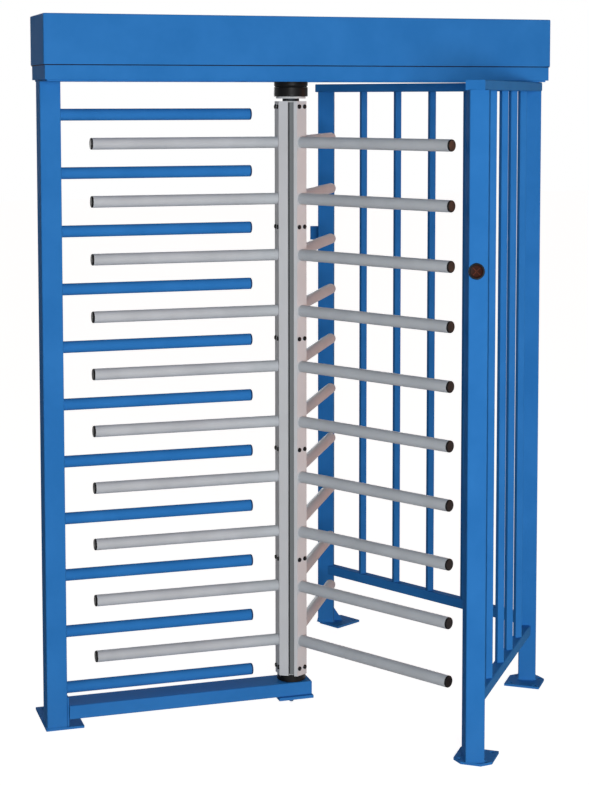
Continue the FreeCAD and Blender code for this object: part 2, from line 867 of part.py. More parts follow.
def facing_disc(outer, thickness, out, place, normal, sideways, z):
    start = direction(normal) * out + direction(normal + 90) * sideways
    centre = FreeCAD.Vector(place[0] + start.x, place[1] + start.y, z)
    return Part.makeCylinder(outer / 2, thickness, centre, direction(normal))


def indicator_bezel(place, out, normal, sideways):
    rim = facing_disc(indicator_diameter, indicator_thickness, out, place, normal, sideways, indicator_z)
    edges = [edge for edge in rim.Edges if edge.Closed]
    front = max(edges, key=lambda edge: edge.CenterOfMass.dot(direction(normal)))
    rim = rim.makeFillet(indicator_edge_radius, [front])
    hole = facing_disc(lens_diameter, indicator_thickness, out, place, normal, sideways, indicator_z)
    return rim.cut(hole)


def indicator_lens(place, out, normal, sideways):
    return facing_disc(lens_diameter, lens_thickness, out, place, normal, sideways, indicator_z)


def rear_box_shift():
    # The box sits on the far face of the back post and reaches past its edge.
    return cage_post_width / 2 + box_reach - box_width / 2


def rear_indicator_box():
    body = upright_bar(box_depth, box_width, box_width, box_corner_radius)
    body = placed(body, (cage_post_width + box_depth) / 2, rear_box_shift(), indicator_z - box_width / 2)
    return placed(body, back_post_xy[0], back_post_xy[1], 0, back_post_turn)


os.makedirs("parts", exist_ok=True)

save("left_base_plate", left_base_plate())
save("left_post", left_post())
save_group("comb_bars", comb_bars())
save_group("comb_bar_caps", comb_caps())
save("beam_flange", beam_flange())
save("floor_beam", floor_beam())
save("beam_end_plate", beam_end_plate())
save("rotor_floor_plate", rotor_floor_plate())
save_group("levelling_stud", [levelling_stud(), levelling_nut()])

save("front_post", cage_post(front_post_xy, front_post_turn))
save("right_post", cage_post(right_post_xy, right_post_turn))
save("back_post", cage_post(back_post_xy, back_post_turn))
save("front_base_plate", cage_base_plate(front_post_xy, side_angle))
save("right_base_plate", cage_base_plate(right_post_xy, side_angle + 180))
save("back_base_plate", cage_base_plate(back_post_xy, back_angle, back_plate_shift))
save("back_post_gusset", back_post_gusset())
save("side_lower_rail", lower_rail(front_post_xy, side_angle, side_span, side_rail_bottom_z, front_post_turn))
save("back_lower_rail", lower_rail(back_post_xy, back_angle, back_span, back_rail_bottom_z, back_post_turn))
save("side_top_rail", top_rail(front_post_xy, side_angle, side_span, 180))
save("back_top_rail", top_rail(back_post_xy, back_angle, back_span, 0))
save_group("top_rail_plugs", [rail_plug(front_post_xy, side_angle), rail_plug(back_post_xy, back_angle)])
save_group("side_panel_bars",
           panel_bars(front_post_xy, side_angle, side_bar_places, side_rail_bottom_z))
save_group("back_panel_bars",
           panel_bars(back_post_xy, back_angle, back_bar_places, back_rail_bottom_z))

save_group("canopy_mount_frame", canopy_mount_frame())
save("canopy_tray", canopy_tray())
save("canopy_cover", canopy_cover())

save("rotor_column", rotor_column())
save_group("column_end_plates", column_end_plates())
save_group("column_bolts", column_bolts())
for number in range(wing_count):
    wing_angle = first_wing_angle + wing_step * number
    save_group("wing_%d_arms" % (number + 1), wing_arms(wing_angle))
    save_group("wing_%d_caps" % (number + 1), wing_caps(wing_angle))
save("top_shaft", top_shaft())
save("top_ring", rounded_ring(top_ring_diameter, shaft_diameter, top_ring_z, top_collar_z,
                              top_ring_edge_radius))
save("top_collar", rounded_ring(collar_diameter, shaft_diameter, top_collar_z, top_collar_top_z,
                                collar_edge_radius))
save("fixed_collar", rounded_ring(collar_diameter, shaft_hole_diameter, fixed_collar_z, tray_bottom_z,
                                  collar_edge_radius))
save("bottom_pivot", bottom_pivot())
save("thrust_pad", thrust_pad())
save("bottom_bearing", bottom_bearing())
save("bottom_collar", bottom_collar())

save("top_bearing", top_bearing())
save("top_bearing_housing", top_bearing_housing())
save_group("stop_disc", stop_disc())
save("pawl_a", pawl())
save("pawl_b", opposite(pawl()))
save_group("head_brackets", [pawl_pedestal(), opposite(pawl_pedestal()),
                             solenoid_bracket(), opposite(solenoid_bracket())])
save("plunger_a", plunger())
save("plunger_b", opposite(plunger()))
save_group("solenoids", [solenoid(), opposite(solenoid())])
save("damper_roller", damper_roller())
save("damper_body", damper_body())
save_group("control_board", [control_board()] + board_standoffs())
save("power_supply", power_supply())
save("cable_gland", cable_gland())

front_spot = (front_post_xy, cage_post_width / 2, front_post_turn + 180, -indicator_shift)
rear_spot = (back_post_xy, cage_post_width / 2 + box_depth, back_post_turn, rear_box_shift())
save_group("indicator_bezels", [indicator_bezel(*front_spot), indicator_bezel(*rear_spot)])
save_group("indicator_lenses", [indicator_lens(*front_spot), indicator_lens(*rear_spot)])
save("rear_indicator_box", rear_indicator_box())
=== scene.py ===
import math

import bmesh
import bpy
from mathutils import Matrix, Vector


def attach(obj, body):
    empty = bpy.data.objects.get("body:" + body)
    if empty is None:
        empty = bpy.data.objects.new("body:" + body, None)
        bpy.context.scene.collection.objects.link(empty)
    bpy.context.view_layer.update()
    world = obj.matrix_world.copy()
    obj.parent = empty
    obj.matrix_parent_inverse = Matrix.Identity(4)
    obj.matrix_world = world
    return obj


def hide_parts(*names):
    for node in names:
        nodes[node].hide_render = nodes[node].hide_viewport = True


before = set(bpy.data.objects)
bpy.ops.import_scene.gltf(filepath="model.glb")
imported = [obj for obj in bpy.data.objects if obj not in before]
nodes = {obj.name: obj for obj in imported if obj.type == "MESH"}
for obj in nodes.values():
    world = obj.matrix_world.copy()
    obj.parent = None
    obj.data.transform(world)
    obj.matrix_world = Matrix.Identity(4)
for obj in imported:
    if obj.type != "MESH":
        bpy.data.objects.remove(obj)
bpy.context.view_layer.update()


# Blue powder coat. The posts, comb, beam, cage and canopy are one welded steel structure, sprayed with
# polyester powder and stoved. To the eye it is an even satin blue with a faint orange peel, slightly
# lighter where the powder is thin, and with a little street dust low down on the feet.

def colour(hex_code):
    channels = [int(hex_code[i:i + 2], 16) / 255 for i in (1, 3, 5)]
    linear = [c / 12.92 if c <= 0.04045 else ((c + 0.055) / 1.055) ** 2.4 for c in channels]
    return (*linear, 1.0)


def add_node(material, kind, settings=None, values=None, links=None):
    # values sets the node's own sockets by name, links joins a socket to another node's output.
    node = material.node_tree.nodes.new(kind)
    for name, value in (settings or {}).items():
        setattr(node, name, value)
    for name, value in (values or {}).items():
        node.inputs[name].default_value = value
    for name, (source, output) in (links or {}).items():
        material.node_tree.links.new(source.outputs[output], node.inputs[name])
    return node


def new_finish(name):
    material = bpy.data.materials.new(name)
    material.use_nodes = True
    material.node_tree.nodes.clear()
    return material


def set_stops(ramp, stops):
    elements = ramp.color_ramp.elements
    while len(elements) < len(stops):
        elements.new(0.5)
    for element, (place, shade) in zip(elements, stops):
        element.position = place
        element.color = shade


def powder_coat(name, thin, full, dust, roughness, specular):
    # The orange peel of a real coat is 1 to 2 mm across, drawn here as 2 mm ripples 0.02 mm deep.
    cloud_size, speck_size, peel_size, peel_depth = 0.16, 0.012, 0.002, 0.00002
    dust_height, dust_share = 0.22, 0.1
    finish = new_finish(name)
    place = add_node(finish, "ShaderNodeTexCoord")
    cloud = add_node(finish, "ShaderNodeTexNoise", {"noise_dimensions": "3D"},
                     {"Scale": 1 / cloud_size, "Detail": 3.0, "Roughness": 0.6},
                     {"Vector": (place, "Object")})
    shade = add_node(finish, "ShaderNodeValToRGB", links={"Fac": (cloud, "Fac")})
    set_stops(shade, [(0.35, colour(full)), (0.65, colour(thin))])
    height = add_node(finish, "ShaderNodeSeparateXYZ", links={"Vector": (place, "Object")})
    low = add_node(finish, "ShaderNodeMapRange", {"clamp": True},
                   {"From Min": 0.0, "From Max": dust_height, "To Min": dust_share, "To Max": 0.0},
                   {"Value": (height, "Z")})
    speck = add_node(finish, "ShaderNodeTexNoise", {"noise_dimensions": "3D"},
                     {"Scale": 1 / speck_size, "Detail": 2.0}, {"Vector": (place, "Object")})
    dirt = add_node(finish, "ShaderNodeMath", {"operation": "MULTIPLY"},
                    links={0: (low, "Result"), 1: (speck, "Fac")})
    coat = add_node(finish, "ShaderNodeMix", {"data_type": "RGBA"}, {"B": colour(dust)},
                    {"Factor": (dirt, "Value"), "A": (shade, "Color")})
    peel = add_node(finish, "ShaderNodeTexNoise", {"noise_dimensions": "3D"},
                    {"Scale": 1 / peel_size, "Detail": 1.0}, {"Vector": (place, "Object")})
    ripple = add_node(finish, "ShaderNodeBump", values={"Strength": 0.12, "Distance": peel_depth},
                      links={"Height": (peel, "Fac")})
    rough = add_node(finish, "ShaderNodeMapRange", {"clamp": True},
                     {"From Min": 0.3, "From Max": 0.7, "To Min": roughness - 0.04,
                      "To Max": roughness + 0.06}, {"Value": (cloud, "Fac")})
    shader = add_node(finish, "ShaderNodeBsdfPrincipled",
                      values={"IOR": 1.5, "Specular IOR Level": specular},
                      links={"Base Color": (coat, "Result"), "Roughness": (rough, "Result"),
                             "Normal": (ripple, "Normal")})
    add_node(finish, "ShaderNodeOutputMaterial", links={"Surface": (shader, "BSDF")})
    return finish


weld_distance = 1e-6
smooth_below, ease_above = math.radians(50), math.radians(40)


def coat_node(name, finish):
    materials = nodes[name].data.materials
    materials.clear()
    materials.append(finish)


def add_piece(name, mesh, finish, body, slot, *stands_for):
    # Turns a finished bmesh, in place in the frame, into a piece that rides on its body. It shades as one
    # surface except across sharp edges, and its flat faces stay flat.
    bmesh.ops.remove_doubles(mesh, verts=mesh.verts, dist=weld_distance)
    bmesh.ops.recalc_face_normals(mesh, faces=mesh.faces)
    for face in mesh.faces:
        face.smooth = True
    for edge in mesh.edges:
        edge.smooth = edge.is_manifold and edge.calc_face_angle(0.0) < smooth_below
    data = bpy.data.meshes.new(name)
    mesh.to_mesh(data)
    mesh.free()
    data.materials.append(finish)
    piece = bpy.data.objects.new(name, data)
    bpy.context.scene.collection.objects.link(piece)
    flats = piece.modifiers.new("flat_faces", "WEIGHTED_NORMAL")
    flats.keep_sharp = True
    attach(piece, body)
    if stands_for:
        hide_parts(*stands_for)
    return piece


def eased_copy(name, ease, steps=2):
    # A copy of the CAD node's solid with its sharp corners eased, as folded or ground steel has them.
    mesh = bmesh.new()
    mesh.from_mesh(nodes[name].data)
    bmesh.ops.remove_doubles(mesh, verts=mesh.verts, dist=weld_distance)
    bmesh.ops.dissolve_limit(mesh, angle_limit=math.radians(1), verts=mesh.verts, edges=mesh.edges)
    sharp = [edge for edge in mesh.edges if edge.is_manifold and edge.calc_face_angle(0.0) > ease_above]
    bmesh.ops.bevel(mesh, geom=sharp, offset=ease, offset_type="OFFSET", segments=steps, profile=0.5,
                    affect="EDGES", material=-1, clamp_overlap=True)
    return mesh


blue_coat = powder_coat("blue_powder_coat_on_steel", "#317AC2", "#2C74BB", "#5E7286", 0.6, 0.006)

# Left base plate and post: a hot-rolled box tube fillet-welded on a cut steel plate with four anchor
# holes. The plate's edges are ground, the tube's corners are rolled.

ground_edge = 0.0008
add_piece("left_plate_ground", eased_copy("left_base_plate", ground_edge), blue_coat, "frame", "blue_paint",
          "left_base_plate")
coat_node("left_post", blue_coat)


def straight_bead(whole, start, end, up, out, leg):
    # A painted fillet weld along a straight corner, its hollow outline swelling in ripples 4 mm apart.
    ripple_pitch, ripple_swell, ripple_phase = 0.004, 0.12, 2.4
    outline = [(0.0, 1.0), (0.35, 0.55), (0.55, 0.35), (1.0, 0.0)]
    run = end - start
    steps = max(2, round(run.length / ripple_pitch))
    rows = []
    for index in range(steps + 1):
        size = leg * (1 + ripple_swell * math.sin(index * ripple_phase))
        corner = start + run * (index / steps)
        rows.append([whole.verts.new(corner + up * (size * a) + out * (size * b)) for a, b in outline]
                    + [whole.verts.new(corner)])
    sides = len(outline) + 1
    loops = [[whole.edges.new((row[i], row[(i + 1) % sides])) for i in range(sides)] for row in rows]
    for first, second in zip(loops, loops[1:]):
        bmesh.ops.bridge_loops(whole, edges=first + second)
    whole.faces.new(rows[0])
    whole.faces.new(rows[-1])


def foot_beads(whole, centre, half_x, half_y, turn, leg=0.004):
    # Beads round the foot of a post on its plate.
    spin = Matrix.Rotation(math.radians(turn), 3, "Z")
    corners = [Vector(corner) for corner in ((-half_x, -half_y, 0), (half_x, -half_y, 0),
                                             (half_x, half_y, 0), (-half_x, half_y, 0))]
    for index in range(4):
        first, second = corners[index], corners[(index + 1) % 4]
        along = (second - first).normalized()
        out = Vector((along.y, -along.x, 0))
        straight_bead(whole, centre + spin @ (first + along * leg),
                      centre + spin @ (second - along * leg), Vector((0, 0, 1)), spin @ out, leg)


# Foot welds. Each post stands on its plate on a fillet weld run round all four sides, under the same coat.
# The corners themselves are left open, where the tube's radius leaves no seat for a bead.

plate_top = 0.008
left_post, left_half_x, left_half_y = Vector((-0.804, 0.0)), 0.033, 0.039
cage_post_half = 0.03
front_post, front_post_turn = Vector((0.369, -0.694)), 79.5
right_post, right_post_turn = Vector((0.855, -0.038)), 66.0
back_post, back_post_turn = Vector((0.398, 0.822)), 68.0
feet = [(left_post, left_half_x, left_half_y, 0.0),
        (front_post, cage_post_half, cage_post_half, front_post_turn),
        (right_post, cage_post_half, cage_post_half, right_post_turn),
        (back_post, cage_post_half, cage_post_half, back_post_turn)]
beads = bmesh.new()
for place, half_x, half_y, turn in feet:
    foot_beads(beads, Vector((*place, plate_top)), half_x, half_y, turn)
add_piece("post_foot_welds", beads, blue_coat, "frame", "blue_paint")

# Floor beam. A flat box tube runs from the left post to under the rotor, between an upright flange plate
# and a welded end plate. A thick square plate with a threaded levelling stud carries the rotor end.

for name in ("beam_flange", "beam_end_plate", "rotor_floor_plate"):
    add_piece(name + "_ground", eased_copy(name, ground_edge), blue_coat, "frame", "blue_paint", name)
coat_node("floor_beam", blue_coat)

# Levelling stud and nut. A zinc-plated M14 stud and hex nut under the beam's rotor end, for setting it
# level. Zinc with a blue-grey cast, the 2 mm thread drawn as a ripple round the stud.

waves_per_unit = 20


def zinc_plate(name, base, roughness, thread=0.0):
    spangle_size, spangle_depth = 0.004, 0.00002
    finish = new_finish(name)
    place = add_node(finish, "ShaderNodeTexCoord")
    spangle = add_node(finish, "ShaderNodeTexNoise", {"noise_dimensions": "3D"},
                       {"Scale": 1 / spangle_size, "Detail": 2.0}, {"Vector": (place, "Object")})
    rough = add_node(finish, "ShaderNodeMapRange", {"clamp": True},
                     {"From Min": 0.3, "From Max": 0.7, "To Min": roughness - 0.06,
                      "To Max": roughness + 0.08}, {"Value": (spangle, "Fac")})
    height = spangle, "Fac"
    if thread:
        turns = add_node(finish, "ShaderNodeTexWave", {"bands_direction": "Z", "wave_type": "BANDS"},
                         {"Scale": 1 / (thread * waves_per_unit), "Distortion": 0.0},
                         {"Vector": (place, "Object")})
        height = turns, "Fac"
    ripple = add_node(finish, "ShaderNodeBump",
                      values={"Strength": 0.25, "Distance": thread or spangle_depth},
                      links={"Height": height})
    shader = add_node(finish, "ShaderNodeBsdfPrincipled",
                      values={"Base Color": colour(base), "Metallic": 1.0},
                      links={"Roughness": (rough, "Result"), "Normal": (ripple, "Normal")})
    add_node(finish, "ShaderNodeOutputMaterial", links={"Surface": (shader, "BSDF")})
    return finish


coat_node("levelling_stud", zinc_plate("zinc_plated_thread", "#4E647C", 0.4, thread=0.002))

# Comb. Eleven round tubes, 38 mm across with a 2.5 mm wall, welded to the post one above the other. The
# tubes are drawn steel under the same blue coat, and a push-in cap of blue plastic closes each tip.

def tube_between(whole, start, end, radius, wall):
    run = end - start
    turn = run.to_track_quat("Z", "Y").to_matrix().to_4x4()
    made = bmesh.ops.create_cone(whole, cap_ends=False, segments=48, radius1=radius, radius2=radius,
                                 depth=run.length, matrix=Matrix.Translation((start + end) / 2) @ turn)
    skin = [face for face in whole.faces if face.verts[0] in made["verts"]]
    bmesh.ops.solidify(whole, geom=skin, thickness=wall)


def turned(profile, steps=48):
    # Spins a closed half outline of (height, radius) points in millimetres round Z.
    shape = bmesh.new()
    points = [shape.verts.new((radius / 1000, 0, height / 1000)) for height, radius in profile]
    edges = [shape.edges.new(pair) for pair in zip(points, points[1:])]
    if profile[0][1] > 0:
        edges.append(shape.edges.new((points[-1], points[0])))
    bmesh.ops.spin(shape, geom=points + edges, cent=(0, 0, 0), axis=(0, 0, 1), dvec=(0, 0, 0),
                   angle=2 * math.pi, steps=steps, use_merge=True, use_duplicate=False)
    bmesh.ops.remove_doubles(shape, verts=shape.verts, dist=weld_distance)
    return shape


def repeated(single, places):
    # One mesh holding a copy of the single shape at each place.
    data = bpy.data.meshes.new("single")
    single.to_mesh(data)
    single.free()
    whole = bmesh.new()
    for place in places:
        first = len(whole.verts)
        whole.from_mesh(data)
        whole.verts.ensure_lookup_table()
        bmesh.ops.transform(whole, matrix=place, verts=whole.verts[first:])
    bpy.data.meshes.remove(data)
    return whole


def rounded(height, radius, sweep, start, end, steps=5):
    # Points of an arc in a half outline, angles in degrees from the axis towards the outside.
    return [(height + sweep * math.cos(math.radians(start + (end - start) * index / steps)),
             radius + sweep * math.sin(math.radians(start + (end - start) * index / steps)))
            for index in range(steps + 1)]


def tube_cap_outline():
    # The plug in the tube, the shadow gap at the tube's end, and a head with a rounded rim.
    rim = rounded(2.6, 15.6, 3.4, 90, 0)
    return [(-20, 0), (-20, 15.6), (-19, 16.1), (0, 16.1), (0, 18.2), (0.7, 18.9), (2.2, 19.0)] \
        + rim + [(5.6, 0)]


def moulded_plastic(name, base, roughness, grain=0.0006):
    # Spark-eroded moulds leave a fine matt grain, 0.6 mm across here so that it shows.
    grain_depth, scuff_size = 0.00003, 0.02
    finish = new_finish(name)
    place = add_node(finish, "ShaderNodeTexCoord")
    spark = add_node(finish, "ShaderNodeTexNoise", {"noise_dimensions": "3D"},
                     {"Scale": 1 / grain, "Detail": 1.0}, {"Vector": (place, "Object")})
    scuffs = add_node(finish, "ShaderNodeTexNoise", {"noise_dimensions": "3D"},
                      {"Scale": 1 / scuff_size, "Detail": 4.0}, {"Vector": (place, "Object")})
    rough = add_node(finish, "ShaderNodeMapRange", {"clamp": True},
                     {"From Min": 0.35, "From Max": 0.65, "To Min": roughness - 0.08,
                      "To Max": roughness + 0.08}, {"Value": (scuffs, "Fac")})
    ripple = add_node(finish, "ShaderNodeBump", values={"Strength": 0.3, "Distance": grain_depth},
                      links={"Height": (spark, "Fac")})
    shader = add_node(finish, "ShaderNodeBsdfPrincipled",
                      values={"Base Color": colour(base), "IOR": 1.49, "Specular IOR Level": 0.12},
                      links={"Roughness": (rough, "Result"), "Normal": (ripple, "Normal")})
    add_node(finish, "ShaderNodeOutputMaterial", links={"Surface": (shader, "BSDF")})
    return finish


bar_pitch, comb_top, comb_count = 0.186, 1.986, 11
tube_radius, tube_wall = 0.019, 0.0025
post_face, comb_seat = -0.771, -0.144
comb_levels = [comb_top - bar_pitch * index for index in range(comb_count)]
blue_cap = moulded_plastic("blue_moulded_cap", "#173A68", 0.5)

comb = bmesh.new()
for level in comb_levels:
    tube_between(comb, Vector((post_face, 0, level)), Vector((comb_seat, 0, level)), tube_radius,
                 tube_wall)
add_piece("comb_tubes", comb, blue_coat, "frame", "blue_paint", "comb_bars")

lie_along_x = Matrix.Rotation(math.radians(90), 4, "Y")
cap_places = [Matrix.Translation((comb_seat, 0, level)) @ lie_along_x for level in comb_levels]
cap_steps = 40
add_piece("comb_tip_caps", repeated(turned(tube_cap_outline(), cap_steps), cap_places), blue_cap, "frame",
          "black_plastic", "comb_bar_caps")

# Comb welds. A fillet weld runs round each tube where it meets the post, painted over with the rest.

def ring_bead(leg):
    # A small fillet round a tube of the comb's size, its 30 ripples about 4 mm apart.
    tube, ripples, ripple_height, touching = 19, 30, 0.00025, 0.0001
    bead = turned([(0, tube), (leg, tube), (leg * 0.45, tube + leg * 0.35),
                   (leg * 0.2, tube + leg * 0.7), (0, tube + leg)], 2 * ripples)
    for vert in bead.verts:
        swell = ripple_height * math.sin(ripples * math.atan2(vert.co.y, vert.co.x))
        if vert.co.z > touching and vert.co.xy.length > tube_radius + touching:
            vert.co.z += swell
    return bead


weld_places = [Matrix.Translation((post_face, 0, level)) @ lie_along_x for level in comb_levels]
add_piece("comb_welds", repeated(ring_bead(4.0), weld_places), blue_coat, "frame", "blue_paint")

# Cage feet and posts. Three 60 mm box tubes, each on a plate with its outer corners cut off, and a small
# gusset at the back post. The plates are flame-cut and ground, the tubes are cold rolled.

for name in ("front_base_plate", "right_base_plate", "back_base_plate", "back_post_gusset"):
    add_piece(name + "_ground", eased_copy(name, ground_edge), blue_coat, "frame", "blue_paint", name)
for name in ("front_post", "right_post", "back_post"):
    coat_node(name, blue_coat)

# Cage panels. Square tubes of 23 mm stand between a lower rail and a flat top rail, four on the passage's
# side and five across the back, all welded. The top rails are mitred over the right post.

for name in ("side_lower_rail", "back_lower_rail", "side_panel_bars", "back_panel_bars", "side_top_rail",
             "back_top_rail", "top_rail_plugs"):
    coat_node(name, blue_coat)

# Canopy frame and tray. Flat bars carry a folded tray of 3 mm sheet that holds the locking head. The
# tray's corners are folded round a small radius and welded shut.

coat_node("canopy_mount_frame", blue_coat)
tray_edge = 0.0012
add_piece("canopy_tray_folded", eased_copy("canopy_tray", tray_edge), blue_coat, "frame", "blue_paint",
          "canopy_tray")

# Rotor foot. A bronze-grey thrust pad and a plain bearing in the beam hold the steel pivot, under a
# turned collar of black plastic that keeps dirt out.

def turned_steel(name, base, roughness, pitch=0.0008):
    # Lathe marks run round the piece, 0.8 mm apart so that they show.
    mark_depth, haze_size = 0.00002, 0.01
    finish = new_finish(name)
    place = add_node(finish, "ShaderNodeTexCoord")
    marks = add_node(finish, "ShaderNodeTexWave", {"bands_direction": "Z", "wave_type": "BANDS"},
                     {"Scale": 1 / (pitch * waves_per_unit), "Distortion": 0.3, "Detail": 1.0},
                     {"Vector": (place, "Object")})
    haze = add_node(finish, "ShaderNodeTexNoise", {"noise_dimensions": "3D"},
                    {"Scale": 1 / haze_size, "Detail": 3.0}, {"Vector": (place, "Object")})
    rough = add_node(finish, "ShaderNodeMapRange", {"clamp": True},
                     {"From Min": 0.3, "From Max": 0.7, "To Min": roughness - 0.05,
                      "To Max": roughness + 0.08}, {"Value": (haze, "Fac")})
    ripple = add_node(finish, "ShaderNodeBump", values={"Strength": 0.15, "Distance": mark_depth},
                      links={"Height": (marks, "Fac")})
    shader = add_node(finish, "ShaderNodeBsdfPrincipled",
                      values={"Base Color": colour(base), "Metallic": 1.0},
                      links={"Roughness": (rough, "Result"), "Normal": (ripple, "Normal")})
    add_node(finish, "ShaderNodeOutputMaterial", links={"Surface": (shader, "BSDF")})
    return finish


ground_steel = turned_steel("ground_bearing_steel", "#6E7276", 0.3)
for name in ("bottom_pivot", "thrust_pad", "bottom_bearing", "top_bearing", "plunger_a", "plunger_b"):
    coat_node(name, ground_steel)


def collar_outline(bottom, top, inner, outer, edge):
    low = rounded(bottom + edge, outer - edge, edge, 180, 90)
    high = rounded(top - edge, outer - edge, edge, 90, 0)
    return [(bottom, inner)] + low + high + [(top, inner)]


black_collar = moulded_plastic("black_turned_nylon", "#0E0E0F", 0.42)
collar_steps = 72
add_piece("bottom_collar_turned", turned(collar_outline(80, 101, 15, 48, 2), collar_steps), black_collar,
          "rotor", "black_plastic", "bottom_collar")

# Rotor column. An extruded six-sided aluminium section, 5 mm thick, with a channel down each wide face
# between the wings. Natural anodised: a silvery satin grey with faint lines along the extrusion.

def satin_silver(name, base, metal, roughness, line=0.0015):
    # The lines are noise drawn out 250 times along the section, with a slow change of shade over it.
    stretch, line_depth, cloud_size = 0.004, 0.00002, 0.12
    finish = new_finish(name)
    place = add_node(finish, "ShaderNodeTexCoord")
    draw = add_node(finish, "ShaderNodeMapping", values={"Scale": (1, 1, stretch)},
                    links={"Vector": (place, "Object")})
    lines = add_node(finish, "ShaderNodeTexNoise", {"noise_dimensions": "3D"},
                     {"Scale": 1 / line, "Detail": 2.0, "Roughness": 0.6}, {"Vector": (draw, "Vector")})
    cloud = add_node(finish, "ShaderNodeTexNoise", {"noise_dimensions": "3D"},
                     {"Scale": 1 / cloud_size, "Detail": 2.0}, {"Vector": (place, "Object")})
    shade = add_node(finish, "ShaderNodeMix", {"data_type": "RGBA"},
                     {"A": colour(base), "B": colour("#BCBEC1")}, {"Factor": (cloud, "Fac")})
    rough = add_node(finish, "ShaderNodeMapRange", {"clamp": True},
                     {"From Min": 0.3, "From Max": 0.7, "To Min": roughness - 0.05,
                      "To Max": roughness + 0.07}, {"Value": (lines, "Fac")})
    ripple = add_node(finish, "ShaderNodeBump", values={"Strength": 0.12, "Distance": line_depth},
                      links={"Height": (lines, "Fac")})
    shader = add_node(finish, "ShaderNodeBsdfPrincipled",
                      values={"Metallic": metal, "Specular IOR Level": 0.06},
                      links={"Base Color": (shade, "Result"), "Roughness": (rough, "Result"),
                             "Normal": (ripple, "Normal")})
    add_node(finish, "ShaderNodeOutputMaterial", links={"Surface": (shader, "BSDF")})
    return finish


column_silver = satin_silver("natural_anodised_extrusion", "#CBCDD0", 0.0, 0.45)
extruded_edge = 0.0006
add_piece("column_extrusion", eased_copy("rotor_column", extruded_edge), column_silver, "rotor",
          "grey_paint", "rotor_column")
coat_node("column_end_plates", zinc_plate("zinc_plated_plate", "#9AA0A6", 0.4))

# Channel shade strips. A soft grey strip set into each channel of the column is painted shade on the
# channel's floor, and a narrow black strip down its trailing side is a painted shadow line on that wall.
# Both stop short of the column's ends.

def channel_shade_strip(near, far, depth, thickness):
    # near and far are the strip's two edges across the face, depth is its back below the face.
    strip_bottom, strip_length, strip_edge = 0.105, 1.919, 0.0004
    shape = bmesh.new()
    middle, half = (near + far) / 2, (far - near) / 2
    corners = [shape.verts.new((outward, middle + side, strip_bottom))
               for outward, side in ((-depth, -half), (thickness - depth, -half),
                                     (thickness - depth, half), (-depth, half))]
    end = shape.faces.new(corners)
    grown = bmesh.ops.extrude_face_region(shape, geom=[end])
    top = [item for item in grown["geom"] if isinstance(item, bmesh.types.BMVert)]
    bmesh.ops.translate(shape, vec=(0, 0, strip_length), verts=top)
    bmesh.ops.bevel(shape, geom=shape.edges[:], offset=strip_edge, offset_type="OFFSET", segments=2,
                    profile=0.5, affect="EDGES", material=-1)
    return shape


wide_face, wide_face_turns, channel_depth = 0.04442, (240, 0, 120), 0.012
shadow_line_sides, shadow_line_thickness = (-0.0004, 0.004), 0.004
strip_sides, strip_thickness = (0.0041, 0.0194), 0.007
channel_places = [Matrix.Rotation(math.radians(turn), 4, "Z") @ Matrix.Translation((wide_face, 0, 0))
                  for turn in wide_face_turns]
# The black strip is a painted shadow line on each channel's trailing wall, the grey strip painted shade on
# its floor.
channel_shadow_line = channel_shade_strip(*shadow_line_sides, channel_depth, shadow_line_thickness)
add_piece("channel_painted_shadow_lines", repeated(channel_shadow_line, channel_places),
          moulded_plastic("painted_channel_shadow_line", "#2E3133", 0.7), "rotor", "rubber")
channel_floor_shade = channel_shade_strip(*strip_sides, channel_depth, strip_thickness)
add_piece("channel_painted_floor_shade", repeated(channel_floor_shade, channel_places),
          moulded_plastic("painted_channel_floor_shade", "#767A7C", 0.6), "rotor", "grey_paint")

# Arm bolts. Pairs of black button-head socket screws hold each wing's arms from the column's faces.
# Blackened steel, a low dome with a hex socket.

def socket_screw():
    # The dome and shank spun, then the hex socket sunk in the top.
    socket_radius, socket_depth, above_head, hexagon = 0.0026, 0.0025, 0.00522, 6
    dome = rounded(1.8, 4.5, 3.0, 90, 30, 4)
    screw = turned([(-5, 0), (-5, 4), (0, 4), (0, 7.5), (1.8, 7.5)] + dome + [(5.2, 3.2), (5.2, 0)], 24)
    recess = bmesh.ops.create_circle(screw, cap_ends=True, segments=hexagon, radius=socket_radius,
                                     matrix=Matrix.Translation((0, 0, above_head)))
    floor = [face for face in screw.faces
             if face.verts[0] in recess["verts"] and len(face.verts) == hexagon]
    deeper = bmesh.ops.extrude_face_region(screw, geom=floor)
    sunk = [item for item in deeper["geom"] if isinstance(item, bmesh.types.BMVert)]
    bmesh.ops.translate(screw, vec=(0, 0, -socket_depth), verts=sunk)
    return screw


black_steel = moulded_plastic("blackened_screw_steel", "#0E0E10", 0.3, grain=0.001)
column_face, screw_spread = 0.049, 0.026
lowest_screw, screw_pitch, highest_screw = 0.126, 0.372, 2.010
screw_levels = [lowest_screw + screw_pitch * index for index in range(5)] + [highest_screw]
wing_turns = (180, 300, 60)
screw_places = [Matrix.Rotation(math.radians(turn), 4, "Z") @ Matrix.Translation((column_face, side, level))
                @ lie_along_x for turn in wing_turns for level in screw_levels
                for side in (-screw_spread / 2, screw_spread / 2)]
add_piece("column_screws", repeated(socket_screw(), screw_places), black_steel, "rotor", "black_steel",
          "column_bolts")

# Wings. Three wings of ten tubes, the comb's size, set between the comb's bars. Powder coated in silver
# grey, and each tip is closed by a black push-in cap that shows as a thin dark ring from the side.

